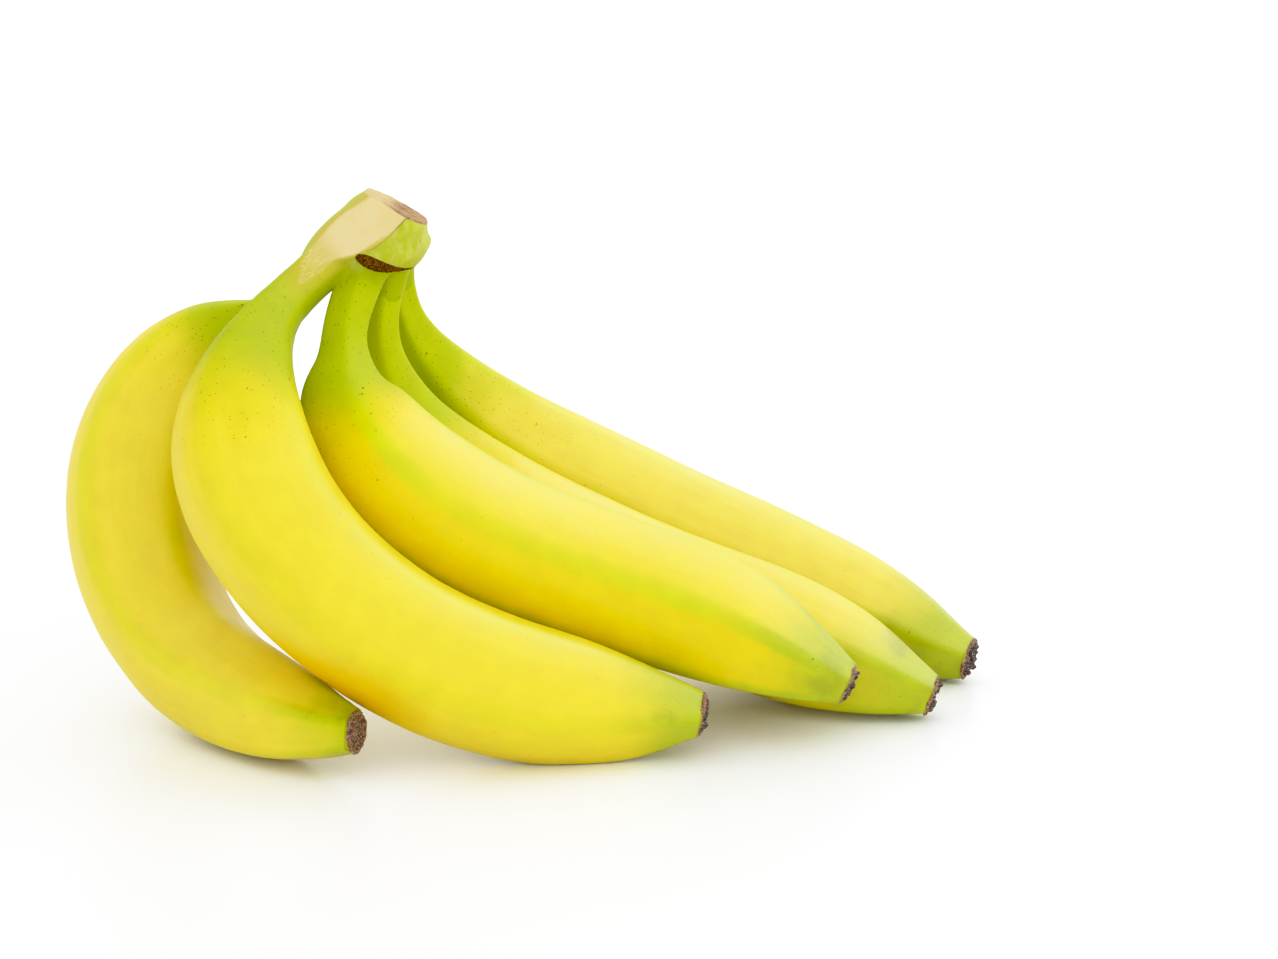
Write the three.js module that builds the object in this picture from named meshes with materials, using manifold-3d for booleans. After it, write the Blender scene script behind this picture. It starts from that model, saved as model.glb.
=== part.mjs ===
// A hand of five bananas joined at one crown, resting on a flat surface.
// Millimetres. +Z is up, +X runs along the hand's length and -Y is the side with the crown's cut face.
import * as THREE from 'three';
import Module from 'manifold-3d';

const wasm = await Module();
wasm.setup();

// ---- Driving dimensions ----

const CLEARANCE = 0.3; // gap between two pieces that would otherwise touch
const CROWN_CLEARANCE = 0.8; // growth of the crown's own shape that leaves such a gap everywhere
const PRESSED = 0.9; // a finger's thickness across the hand, as a share of its thickness back to belly
const RIDGE_COUNT = 5; // long rounded ridges on a banana's skin
const RIDGE_HEIGHT = 0.05; // how far a ridge stands out, as a share of the half-thickness
const FINGER_SIDES = 20;
const FINGER_RINGS = 40;
const CROWN_SIDES = 24;
const CROWN_RINGS = 14;

// Each finger runs along a smooth line from inside the crown to its tip.
// A row is [x, y, z, half-thickness]. The surface that the hand rests on is z = 0.
const FINGER_LINES = {
  banana_1: [
    [-73, 44, 133, 6],
    [-80, 45, 126, 6],
    [-89.3, 46, 118, 5.2],
    [-98.5, 48.5, 107, 5.5],
    [-113, 51, 102, 13],
    [-126, 50, 89.5, 19],
    [-136.5, 47, 71, 19],
    [-138, 43, 49, 19],
    [-130.6, 38.7, 27.2, 17.8],
    [-115.9, 25, 15, 16.2],
    [-95.2, 2, 12.6, 14.5],
    [-79.9, -10, 12.2, 8.6],
    [-73, -13, 12.4, 5.7],
  ],
  banana_2: [
    [-71, 42, 133, 6.5],
    [-78.5, 39, 128.3, 6],
    [-86.7, 34.5, 121.9, 5.6],
    [-95.5, 24, 114.5, 5.9],
    [-101, 11, 102, 13.5],
    [-102, 1, 87, 18.5],
    [-97, -3, 70, 19.5],
    [-83, -3, 50, 19.5],
    [-62, -1, 32, 19],
    [-39, 2, 20.5, 19],
    [-18, 4, 15, 17.5],
    [0, 4, 12.7, 12.6],
    [11, 3, 12.6, 8],
    [15.8, 3, 11.8, 5.9],
  ],
  banana_3: [
    [-70, 42, 128, 6],
    [-73, 39, 122, 5.5],
    [-76, 35, 115, 5.5],
    [-78, 31, 107, 5.5],
    [-77.5, 28, 100, 6.8],
    [-77.8, 25, 91.5, 13.9],
    [-70.6, 22, 78, 16.8],
    [-55, 22, 63, 18],
    [-34, 25, 51, 18],
    [-13, 27, 42, 18],
    [9, 25, 35, 18],
    [29, 21, 28, 16],
    [45, 16, 20.5, 10],
    [54.9, 14.5, 16.2, 5.4],
  ],
  banana_4: [
    [-67, 50, 126, 6],
    [-69, 50, 117, 5.5],
    [-71, 50, 108, 5.5],
    [-71, 52, 98, 6],
    [-68, 55, 85, 9.5],
    [-62, 57, 73, 12.5],
    [-49, 57, 60, 15.5],
    [-33, 59, 47, 17.5],
    [-11, 61, 35, 18],
    [14, 59, 25, 18],
    [39, 49, 18, 18.5],
    [58, 38, 14, 15],
    [71, 35, 9.2, 9.5],
    [79.3, 33.5, 6.5, 5.7],
  ],
  banana_5: [
    [-67, 58, 125, 6],
    [-67.5, 61, 117, 5.5],
    [-66, 65, 107, 5.5],
    [-63, 71, 97.5, 7.5],
    [-56, 77, 85, 11.5],
    [-41, 83, 69, 15],
    [-18, 88, 55, 16.5],
    [8, 91, 41, 16.5],
    [36, 93, 27.5, 17],
    [60, 86, 17, 17],
    [76, 74, 12, 14],
    [86.5, 67, 8.7, 9.2],
    [93, 64, 7.1, 6.2],
  ],
};
// Where a finger's first ridge lies round its section, in degrees, at the crown and at the tip.
const RIDGE_TURNS = {
  banana_1: [106, 27],
  banana_2: [80, 38],
  banana_3: [92, 84],
  banana_4: [80, 52],
  banana_5: [80, 56],
};
// Fingers whose bellies lie on the surface, each with a small flat pressed into it.
const RESTING_FINGERS = ['banana_1', 'banana_2', 'banana_4', 'banana_5'];

// The crown is a pad over fingers 3 to 5 with an arm reaching down to fingers 1 and 2.
// A row is [x, y, z, half-width, half-depth].
const CROWN_PAD = [
  [-67.5, 48.5, 121.5, 5, 8],
  [-67.5, 48.5, 123.5, 10.5, 15],
  [-68, 48.5, 126.5, 12.5, 17.4],
  [-69, 48.5, 131, 13.6, 16.1],
  [-65.5, 48.5, 136.5, 10.4, 17.6],
  [-61.8, 49, 143, 6.2, 15],
  [-59.5, 49, 151, 5, 13],
];
const CROWN_ARM = [
  [-91, 41, 118.5, 2.5, 6],
  [-87.8, 42, 121.5, 3.8, 9.5],
  [-83.5, 44, 126.7, 5.6, 14],
  [-77, 45.5, 130.5, 7.6, 16],
  [-71, 46.5, 135.5, 6.8, 16.5],
  [-64.5, 47, 139.5, 5.5, 15.5],
  [-58, 48, 144, 5, 13],
];
const CROWN_BOXINESS = 0.1; // how much further than an ellipse the crown's sections reach at their corners

// Two knife cuts trim the crown. A plane is a point on it and the direction that it faces.
const TOP_CUT = { point: [-66, 48, 139.5], facing: [0.47, 0.09, 0.88] };
const FACE_CUT = { point: [-72, 32.9, 132], facing: [-0.19, -0.863, 0.466] };
// The skin stands proud of the face cut beyond all the planes of any one of these edges:
// the lobe on the right, the stalk of finger 2 below and the stalk of finger 1 on the left.
const FACE_EDGES = [
  [{ point: [-67.9, 31.9, 131.3], facing: [0.72, 0, -0.69] }],
  [
    { point: [-79.5, 32, 128.2], facing: [0.585, 0, -0.81] },
    { point: [-77, 32, 128.7], facing: [0.16, 0, -0.99] },
  ],
  [{ point: [-87, 32, 126.7], facing: [-0.97, 0, 0.25] }],
];
const PROUD = 2; // how far it stands proud at most

// The torn edge left by the bract, a rough ledge round the pad's lower front.
// A row is [x, y, z, half-width, half-depth].
const SCAR_LINE = [
  [-75.3, 33.2, 129.3, 0.2, 0.2],
  [-74, 32.3, 128.4, 0.5, 0.5],
  [-72.6, 32, 127.4, 1.1, 1.1],
  [-70.6, 31.8, 126.2, 1.6, 1.6],
  [-68.2, 32, 125.2, 1.5, 1.5],
  [-65.6, 33.2, 124.5, 1.1, 1.1],
  [-62.6, 36, 124.1, 0.8, 0.8],
  [-60.6, 40, 123.8, 0.6, 0.6],
  [-59.8, 43.5, 123.5, 0.3, 0.3],
];
const SCAR_RINGS = 24;
const SCAR_SIDES = 8;

// The dried flower end is a knobbly cap on each tip.
// A row is [distance beyond the tip, share of the tip's half-thickness].
const BLOSSOM_PROFILE = [
  [0, 0.88],
  [0.9, 1.0],
  [2.2, 0.98],
  [3.2, 0.8],
  [3.7, 0.45],
];
const BLOSSOM_SIDES = 18;
const BLOSSOM_KNOBS = 6;
const BLOSSOM_KNOB_HEIGHT = 0.07;
const CUTTING_BLOCK = 400; // side of the block that makes a flat cut, larger than the whole hand

const skin = () => new THREE.MeshStandardMaterial({ color: 0xe8d62f, roughness: 0.45, metalness: 0 });
const crownSkin = () => new THREE.MeshStandardMaterial({ color: 0xcfc860, roughness: 0.6, metalness: 0 });
const driedFlower = () => new THREE.MeshStandardMaterial({ color: 0x6b4a2d, roughness: 0.9, metalness: 0 });

// ---- Lofted solids ----

// The point at 0..1 along the uniform cubic B-spline of the rows. It starts and ends on the end rows.
function splineAt(rows, along) {
  const last = rows.length - 1;
  const span = Math.min(Math.floor(along * last), last - 1);
  const t = along * last - span;
  const row = (i) => {
    if (i < 0) return rows[0].map((v, k) => 2 * v - rows[1][k]);
    if (i > last) return rows[last].map((v, k) => 2 * v - rows[last - 1][k]);
    return rows[i];
  };
  const weights = [
    (1 - t) ** 3 / 6,
    (3 * t ** 3 - 6 * t ** 2 + 4) / 6,
    (-3 * t ** 3 + 3 * t ** 2 + 3 * t + 1) / 6,
    t ** 3 / 6,
  ];
  return rows[0].map((_, k) => weights.reduce((sum, w, i) => sum + w * row(span - 1 + i)[k], 0));
}

// A closed solid through the rows [x, y, z, a, b]. Each ring is square to the line, with half-size a
// in the plane of the hand and b across it, times shape(angle). turn(along) turns a ring's first corner.
function loft(rows, ringCount, sideCount, shape = () => 1, turn = () => 0) {
  const steps = Array.from({ length: ringCount }, (_, i) => splineAt(rows, i / (ringCount - 1)));
  const centres = steps.map(([x, y, z]) => new THREE.Vector3(x, y, z));
  const positions = [];
  const indices = [];
  let inPlane = null;
  centres.forEach((centre, i) => {
    const before = centres[Math.max(i - 1, 0)];
    const after = centres[Math.min(i + 1, ringCount - 1)];
    const tangent = after.clone().sub(before).normalize();
    inPlane ??= tangent.clone().cross(new THREE.Vector3(0, 1, 0));
    inPlane.addScaledVector(tangent, -inPlane.dot(tangent)).normalize();
    const across = tangent.clone().cross(inPlane);
    const [a, b] = steps[i].slice(3);
    const turned = turn(i / (ringCount - 1));
    for (let j = 0; j < sideCount; j += 1) {
      const angle = (2 * Math.PI * j) / sideCount;
      const point = centre.clone();
      point.addScaledVector(inPlane, a * shape(angle) * Math.cos(angle + turned));
      point.addScaledVector(across, b * shape(angle) * Math.sin(angle + turned));
      positions.push(...point);
    }
  });
  for (let i = 0; i < ringCount - 1; i += 1) {
    for (let j = 0; j < sideCount; j += 1) {
      const next = (j + 1) % sideCount;
      const [p, q] = [i * sideCount + j, i * sideCount + next];
      indices.push(p, q, q + sideCount, p, q + sideCount, p + sideCount);
    }
  }
  const start = positions.length / 3;
  positions.push(...centres[0], ...centres[ringCount - 1]);
  const lastRing = (ringCount - 1) * sideCount;
  for (let j = 0; j < sideCount; j += 1) {
    const next = (j + 1) % sideCount;
    indices.push(start, next, j);
    indices.push(start + 1, lastRing + j, lastRing + next);
  }
  const geometry = new THREE.BufferGeometry();
  geometry.setAttribute('position', new THREE.Float32BufferAttribute(positions, 3));
  geometry.setIndex(indices);
  return toSolid(geometry);
}

function toSolid(geometry) {
  const vertProperties = new Float32Array(geometry.getAttribute('position').array);
  const triVerts = new Uint32Array(geometry.getIndex().array);
  return new wasm.Manifold(new wasm.Mesh({ numProp: 3, vertProperties, triVerts }));
}

function toMesh(name, solid, material) {
  const { vertProperties, triVerts } = solid.getMesh();
  const geometry = new THREE.BufferGeometry();
  geometry.setAttribute('position', new THREE.BufferAttribute(vertProperties, 3));
  geometry.setIndex(new THREE.BufferAttribute(triVerts, 1));
  geometry.computeVertexNormals();
  const mesh = new THREE.Mesh(geometry, material);
  mesh.name = name;
  return mesh;
}

// A large block whose one face lies on the point and looks the opposite way to "facing",
// so that taking the block away leaves a flat cut that looks along "facing".
function blockBeyond({ point, facing }) {
  const normal = new THREE.Vector3(...facing).normalize();
  const box = new THREE.BoxGeometry(CUTTING_BLOCK, CUTTING_BLOCK, CUTTING_BLOCK);
  const turn = new THREE.Quaternion().setFromUnitVectors(new THREE.Vector3(0, 0, 1), normal);
  const centre = new THREE.Vector3(...point).addScaledVector(normal, CUTTING_BLOCK / 2);
  box.applyMatrix4(new THREE.Matrix4().compose(centre, turn, new THREE.Vector3(1, 1, 1)));
  return toSolid(mergedByPosition(box));
}

// The same surface with one vertex at each place, which a solid needs.
function mergedByPosition(geometry) {
  const source = geometry.getAttribute('position');
  const index = geometry.getIndex();
  const places = new Map();
  const positions = [];
  const indices = [];
  for (let i = 0; i < index.count; i += 1) {
    const point = new THREE.Vector3().fromBufferAttribute(source, index.getX(i));
    const key = point.toArray().map((v) => v.toFixed(4)).join(' ');
    if (!places.has(key)) {
      places.set(key, places.size);
      positions.push(...point);
    }
    indices.push(places.get(key));
  }
  const merged = new THREE.BufferGeometry();
  merged.setAttribute('position', new THREE.Float32BufferAttribute(positions, 3));
  merged.setIndex(indices);
  return merged;
}

// ---- Crown ----

// The rows of a body that is larger by the same amount all round and at its lower end.
function grown(rows, by) {
  const start = new THREE.Vector3(...rows[0]);
  const second = new THREE.Vector3(...rows[1]);
  start.addScaledVector(start.clone().sub(second).normalize(), by);
  return rows.map(([x, y, z, a, b], i) => [...(i === 0 ? start : [x, y, z]), a + by, b + by]);
}

const boxy = (angle) => 1 + (CROWN_BOXINESS * (1 - Math.cos(4 * angle))) / 2;

function crownBody(extra) {
  const pad = loft(grown(CROWN_PAD, extra), CROWN_RINGS, CROWN_SIDES, boxy);
  const arm = loft(grown(CROWN_ARM, extra), CROWN_RINGS, CROWN_SIDES, boxy);
  return pad.add(arm);
}

const scarLedge = (extra) => loft(grown(SCAR_LINE, extra), SCAR_RINGS, SCAR_SIDES);

// What the knife takes off the crown's face: all of it as far as the proud skin, and down to the cut
// itself inside the edges.
function faceOffcut() {
  const facing = new THREE.Vector3(...FACE_CUT.facing).normalize();
  const proud = new THREE.Vector3(...FACE_CUT.point).addScaledVector(facing, PROUD);
  let inside = blockBeyond(FACE_CUT);
  for (const planes of FACE_EDGES) {
    const past = planes.map(blockBeyond).reduce((a, b) => a.intersect(b));
    inside = inside.subtract(past);
  }
  return inside.add(blockBeyond({ point: proud, facing: FACE_CUT.facing }));
}

function crownSolid() {
  return crownBody(0).subtract(blockBeyond(TOP_CUT)).subtract(faceOffcut()).add(scarLedge(0));
}

// ---- Fingers ----

const ridges = (angle) => 1 + RIDGE_HEIGHT * Math.cos(RIDGE_COUNT * angle);
const knobs = (angle) => 1 + BLOSSOM_KNOB_HEIGHT * Math.cos(BLOSSOM_KNOBS * angle);

function fingerBody(name, extra) {
  const rows = FINGER_LINES[name].map(([x, y, z, r]) => [x, y, z, r + extra, r * PRESSED + extra]);
  const [atCrown, atTip] = RIDGE_TURNS[name].map(THREE.MathUtils.degToRad);
  const turn = (along) => THREE.MathUtils.lerp(atCrown, atTip, along);
  return loft(rows, FINGER_RINGS, FINGER_SIDES, ridges, turn);
}

// A finger gives way to the crown, to the fingers before it and to the surface that it rests on.
function fingerSolid(name, before, crownRoom, floor) {
  let finger = fingerBody(name, 0).subtract(crownRoom);
  for (const neighbour of before) finger = finger.subtract(fingerBody(neighbour, CLEARANCE));
  return RESTING_FINGERS.includes(name) ? finger.subtract(floor) : finger;
}

function blossomSolid(name) {
  const line = FINGER_LINES[name];
  const [x, y, z, tipRadius] = line[line.length - 1];
  const tip = new THREE.Vector3(x, y, z);
  const outward = tip.clone().sub(new THREE.Vector3(...line[line.length - 2])).normalize();
  const rows = BLOSSOM_PROFILE.map(([distance, share]) => {
    const centre = tip.clone().addScaledVector(outward, CLEARANCE + distance);
    return [...centre, tipRadius * share, tipRadius * share * PRESSED];
  });
  return loft(rows, 2 * rows.length, BLOSSOM_SIDES, knobs);
}

// ---- The hand ----

function buildHand() {
  const hand = new THREE.Group();
  const crownRoom = crownBody(CROWN_CLEARANCE).add(scarLedge(CROWN_CLEARANCE));
  const floor = blockBeyond({ point: [0, 0, 0], facing: [0, 0, -1] });
  hand.add(toMesh('crown', crownSolid(), crownSkin()));
  Object.keys(FINGER_LINES).forEach((name, i, names) => {
    hand.add(toMesh(name, fingerSolid(name, names.slice(0, i), crownRoom, floor), skin()));
    hand.add(toMesh(name.replace('banana', 'blossom_end'), blossomSolid(name), driedFlower()));
  });
  // The origin is the middle of the hand's outer box, on the surface it rests on.
  const box = new THREE.Box3().setFromObject(hand);
  const middle = box.getCenter(new THREE.Vector3());
  hand.position.set(-middle.x, -middle.y, -box.min.z);
  return hand;
}

export default buildHand();
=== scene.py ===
"""A hand of five bananas joined at one crown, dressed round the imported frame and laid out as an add-on.

Rows and stations are in millimetres in the hand's own layout. HAND_SHIFT moves that layout into the
frame, and MM turns it into metres.
"""
import math

import bmesh
import bpy
import numpy as np
from bpy.props import FloatProperty, FloatVectorProperty, IntProperty, PointerProperty
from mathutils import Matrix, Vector, kdtree, noise


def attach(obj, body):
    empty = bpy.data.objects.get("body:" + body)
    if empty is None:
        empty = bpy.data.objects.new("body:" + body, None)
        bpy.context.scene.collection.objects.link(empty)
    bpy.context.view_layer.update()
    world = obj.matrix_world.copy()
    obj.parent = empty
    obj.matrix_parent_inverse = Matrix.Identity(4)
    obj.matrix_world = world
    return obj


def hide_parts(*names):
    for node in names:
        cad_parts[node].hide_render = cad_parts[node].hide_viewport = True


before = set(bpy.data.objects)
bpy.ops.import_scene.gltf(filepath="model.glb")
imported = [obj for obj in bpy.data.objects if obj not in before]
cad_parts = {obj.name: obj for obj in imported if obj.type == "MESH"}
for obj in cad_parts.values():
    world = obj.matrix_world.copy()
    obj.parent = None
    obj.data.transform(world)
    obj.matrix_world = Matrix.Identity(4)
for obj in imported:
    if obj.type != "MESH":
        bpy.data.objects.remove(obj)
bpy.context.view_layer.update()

bl_info = {
    "name": "Hand of bananas",
    "version": (1, 0, 0),
    "blender": (4, 5, 0),
    "location": "View3D > Sidebar > Fruit",
    "description": "Builds a hand of five bananas with its cut crown and dried blossom ends",
    "category": "Add Mesh",
}

MM = 0.001
HAND_SHIFT = np.array([28.86, -42.22, 0.0])
BODY = "root"

# ---- The hand's lines, in millimetres ----

# Each finger runs from inside the crown to its tip. A row is x, y, z and the half-thickness.
FINGER_LINES = {
    "banana_1": [
        (-73, 44, 133, 6), (-80, 45, 126, 6), (-89.3, 46, 118, 5.2), (-98.5, 48.5, 107, 5.5),
        (-113, 51, 102, 13), (-126, 50, 89.5, 19), (-136.5, 47, 71, 19), (-138, 43, 49, 19),
        (-130.6, 38.7, 27.2, 17.8), (-115.9, 25, 15, 16.2), (-95.2, 2, 12.6, 14.5),
        (-79.9, -10, 12.2, 8.6), (-73, -13, 12.4, 5.7),
    ],
    "banana_2": [
        (-71, 42, 133, 6.5), (-78.5, 39, 128.3, 6), (-86.7, 34.5, 121.9, 5.6),
        (-95.5, 24, 114.5, 5.9), (-101, 11, 102, 13.5), (-102, 1, 87, 18.5), (-97, -3, 70, 19.5),
        (-83, -3, 50, 19.5), (-62, -1, 32, 19), (-39, 2, 20.5, 19), (-18, 4, 15, 17.5),
        (0, 4, 12.7, 12.6), (11, 3, 12.6, 8), (15.8, 3, 11.8, 5.9),
    ],
    "banana_3": [
        (-70, 42, 128, 6), (-73, 39, 122, 5.5), (-76, 35, 115, 5.5), (-78, 31, 107, 5.5),
        (-77.5, 28, 100, 6.8), (-77.8, 25, 91.5, 13.9), (-70.6, 22, 78, 16.8), (-55, 22, 63, 18),
        (-34, 25, 51, 18), (-13, 27, 42, 18), (9, 25, 35, 18), (29, 21, 28, 16),
        (45, 16, 20.5, 10), (54.9, 14.5, 16.2, 5.4),
    ],
    "banana_4": [
        (-67, 50, 126, 6), (-69, 50, 117, 5.5), (-71, 50, 108, 5.5), (-71, 52, 98, 6),
        (-68, 55, 85, 9.5), (-62, 57, 73, 12.5), (-49, 57, 60, 15.5), (-33, 59, 47, 17.5),
        (-11, 61, 35, 18), (14, 59, 25, 18), (39, 49, 18, 18.5), (58, 38, 14, 15),
        (71, 35, 9.2, 9.5), (79.3, 33.5, 6.5, 5.7),
    ],
    "banana_5": [
        (-67, 58, 125, 6), (-67.5, 61, 117, 5.5), (-66, 65, 107, 5.5), (-63, 71, 97.5, 7.5),
        (-56, 77, 85, 11.5), (-41, 83, 69, 15), (-18, 88, 55, 16.5), (8, 91, 41, 16.5),
        (36, 93, 27.5, 17), (60, 86, 17, 17), (76, 74, 12, 14), (86.5, 67, 8.7, 9.2),
        (93, 64, 7.1, 6.2),
    ],
}
# In degrees round a finger's section: where its first long ridge lies at the crown and at the tip, how
# much wider the sides beside that ridge are, and how far round from it the ridges are greenest.
RIDGE_TURNS = {
    "banana_1": (106, 27, 0, 72),
    "banana_2": (80, 38, 10, 0),
    "banana_3": (92, 84, 0, 0),
    "banana_4": (80, 52, 0, 0),
    "banana_5": (80, 56, 0, 0),
}
# The two fingers that press together. Where they meet, their skins get a painted shade.
PRESSED_PAIR = ("banana_1", "banana_2")
# How pale a finger is, partly painted sheen, how dark its neck is, how green its ridges are, how much
# nearer to its end the green of the tip begins, in shares of REACH, and how fast the green of the neck
# fades.
FINGER_TONES = {
    "banana_1": (0.3, 0.15, 0.6, 0.09, 1),
    "banana_2": (0.15, 0.35, 0.5, 0.03, 1),
    "banana_3": (0, 0.2, 1.2, 0, 0.9),
    "banana_4": (0.2, 0, 0.6, 0, 0.6),
    "banana_5": (0.65, 0, 0.8, 0, 0.5),
}
# Where a finger's skin begins, as a share of its line, and where the crown's skin dives under it.
LEAVES_CROWN = {
    "banana_1": (0.19, 0.25),
    "banana_2": (0.19, 0.24),
    "banana_3": (0.02, 0.1),
    "banana_4": (0.02, 0.1),
    "banana_5": (0.02, 0.1),
}
# How far the dark nodules stand out of each dried flower, where 1 is a knotty one.
BLOSSOM_KNOTS = {
    "banana_1": 0.25,
    "banana_2": 1.1,
    "banana_3": 1.1,
    "banana_4": 1.1,
    "banana_5": 0.9,
}
# Each dried flower's draws start from this seed plus the finger's number.
BLOSSOM_SEED = 40
# The materials count along a finger in this distance, in millimetres.
REACH = 100
# Long ridges round a finger.
RIDGES = 5
# The purse of the tip: how far ahead of the line's end each last ring lies, and its share of the size.
PURSED_TIP = ((0.25, 0.985), (0.45, 0.93), (0.5, 0.8))
# How much smaller a finger's first ring is than its line says, to lie under the crown's skin.
SUNK = 1.0

# The crown is a pad over fingers 3 to 5 and an arm down to fingers 1 and 2.
# A row is x, y, z, half-width and half-depth.
CROWN_PAD = [
    (-67.5, 48.5, 121.5, 5, 8), (-67.5, 48.5, 123.5, 10.5, 15), (-68, 48.5, 126.5, 12.5, 17.4),
    (-69, 48.5, 131, 13.6, 16.1), (-65.5, 48.5, 136.5, 10.4, 17.6), (-61.8, 49, 143, 6.2, 15),
    (-59.5, 49, 151, 5, 13),
]
CROWN_ARM = [
    (-91, 41, 118.5, 2.5, 6), (-87.8, 42, 121.5, 3.8, 9.5), (-83.5, 44, 126.7, 5.6, 14),
    (-77, 45.5, 130.5, 7.6, 16), (-71, 46.5, 135.5, 6.8, 16.5), (-64.5, 47, 139.5, 5.5, 15.5),
    (-58, 48, 144, 5, 13),
]
# The two knife cuts: a point on the cut and the way it faces. Past RUN_OUT_FROM the face cut lifts
# away down the stalks, by RUN_OUT times the square of the distance.
TOP_CUT = ((-66, 48, 139.5), (0.47, 0.09, 0.88))
FACE_CUT = ((-72, 32.9, 132), (-0.19, -0.863, 0.466))
STALKWARD = (-0.76, 0, -0.65)
RUN_OUT_FROM = 9
RUN_OUT = 0.055
# Beyond all the planes of any one of these edges the skin stands PROUD of the face cut, and it rises
# to that height within PROUD_WITHIN.
FACE_EDGES = {
    "lobe": [((-67.9, 31.9, 131.3), (0.72, 0, -0.69))],
    "stalk_2": [((-79.5, 32, 128.2), (0.585, 0, -0.81)), ((-77, 32, 128.7), (0.16, 0, -0.99))],
    "stalk_1": [((-87, 32, 126.7), (-0.97, 0, 0.25))],
}
PROUD = 2.0
PROUD_WITHIN = 1.6
# How much further than an ellipse the crown's sections reach at their corners.
BOXINESS = 0.1
# The torn edge of the bract under the pad's front: x, y, z, half-width and half-depth.
SCAR_LINE = [
    (-75.3, 33.2, 129.3, 0.2, 0.2), (-74, 32.3, 128.4, 0.5, 0.5), (-72.6, 32, 127.4, 1.1, 1.1),
    (-70.6, 31.8, 126.2, 1.6, 1.6), (-68.2, 32, 125.2, 1.5, 1.5), (-65.6, 33.2, 124.5, 1.1, 1.1),
    (-62.6, 36, 124.1, 0.8, 0.8), (-60.6, 40, 123.8, 0.6, 0.6), (-59.8, 43.5, 123.5, 0.3, 0.3),
]

# Which way the threads of the face cut and the fibres of the top cut run.
THREADS_RUN = (0.74, 0.15, 0.65)
FIBRES_RUN = (0.85, -0.2, -0.5)

# Where the camera stands in the hand's layout.
CAMERA_PLACE = (0, -701.98, 257.45)
# How wide the camera's frame is, in millimetres.
CAMERA_FRAME = 36
# The floor reaches this far each way and lies this far below the hand, in metres.
FLOOR_REACH = 12.0
FLOOR_DROP = 0.0002
# The lights that show as a sheen: degrees round to the right of the camera, degrees up, and strength.
SHEENS = ((140, 50, 2.3), (100, 45, 1.9), (20, 80, 0.5))
# How wide such a light looks, in degrees.
SHEEN_WIDTH = 50
# How bright light is shown: shares of the white level and what they become.
SHOULDER = ((0.3, 0.37), (0.65, 0.79), (0.84, 0.93))

# The marks of the materials, as lumps or spots to a metre.
BLOTCHES = 45
SMUDGES = 85
WARM_PATCHES = 90
PATCHES = 130
COARSE_SPECKS = 230
VEILS = 380
FINE_SPECKS = 760
CROWN_SPECKS = (620, 330)
FLOWER_CRUST = 900
PORES = 1500
# The pale dust on the dried flowers also paints their glints.
FLOWER_DUST_AND_GLINTS = 2300
CRUMBS = 2400
# The height of their fine relief, in metres.
PORE_RELIEF = 0.00012
STREAK_RELIEF = 0.0006
THREAD_RELIEF = 0.0005
FIBRE_RELIEF = 0.0008
CRUMB_RELIEF = 0.0005
CRUST_RELIEF = 0.0006
# Where a green is gone and where it is full: past the shoulder and before the tip, in shares of REACH.
NECK_GREEN = (0.16, -0.08)
TIP_GREEN = (0.3, 0.04)


def srgb(red, green, blue):
    """A display colour of 0 to 255 as the linear colour that shaders take."""
    shares = [v / 255 for v in (red, green, blue)]
    return tuple(v / 12.92 if v <= 0.04045 else ((v + 0.055) / 1.055) ** 2.4 for v in shares)


def colour(name, description, value):
    return FloatVectorProperty(
        name=name, description=description, default=srgb(*value), size=3, subtype="COLOR", min=0, max=1
    )


def millimetres(name, description, value):
    return FloatProperty(name=name, description=description, default=value, min=0, precision=2)


# ---- Settings that a user would change ----


class BananaSettings(bpy.types.PropertyGroup):
    ripe: colour("Ripe", "Yellow of the ripe body", (223, 201, 12))
    golden: colour("Golden", "Deeper yellow in patches and along the belly", (223, 189, 4))
    ridge: colour("Ridge", "Green that lingers along the ridges", (198, 201, 12))
    neck: colour("Neck", "Green of the stalk and the shoulder", (176, 188, 26))
    deep_neck: colour("Deep neck", "Darker green of the front fingers' necks", (140, 152, 16))
    tip: colour("Tip", "Green towards the blossom end", (168, 180, 22))
    # A paler, creamier yellow over some whole fingers: partly their own paler skin, partly painted sheen.
    pale: colour("Pale", "Paler yellow of the less ripe fingers", (230, 212, 96))
    # Painted shade: a golden brown where two fingers press together.
    pressed_painted_shade: colour("Pressed yellow", "Golden brown where two fingers press", (214, 148, 0))
    smudge: colour("Smudge", "Grey-green smudges near the tips", (118, 116, 34))
    speck: colour("Speck", "Brown of the small specks", (84, 62, 22))
    roughness: FloatProperty(
        name="Roughness", description="Roughness of the waxy skin", default=0.42, min=0, max=1
    )
    ridge_height: FloatProperty(
        name="Ridge height",
        description="Ridge height as a share of the half-thickness",
        default=0.038,
        min=0,
        max=0.1,
    )
    pressed: FloatProperty(
        name="Pressed",
        description="Thickness across the hand as a share of that from back to belly",
        default=0.9,
        min=0.5,
        max=1,
    )
    sides: IntProperty(name="Sides", description="Faces round a finger", default=120, min=20)
    rings: IntProperty(name="Rings", description="Rings along a finger", default=280, min=40)


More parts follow.
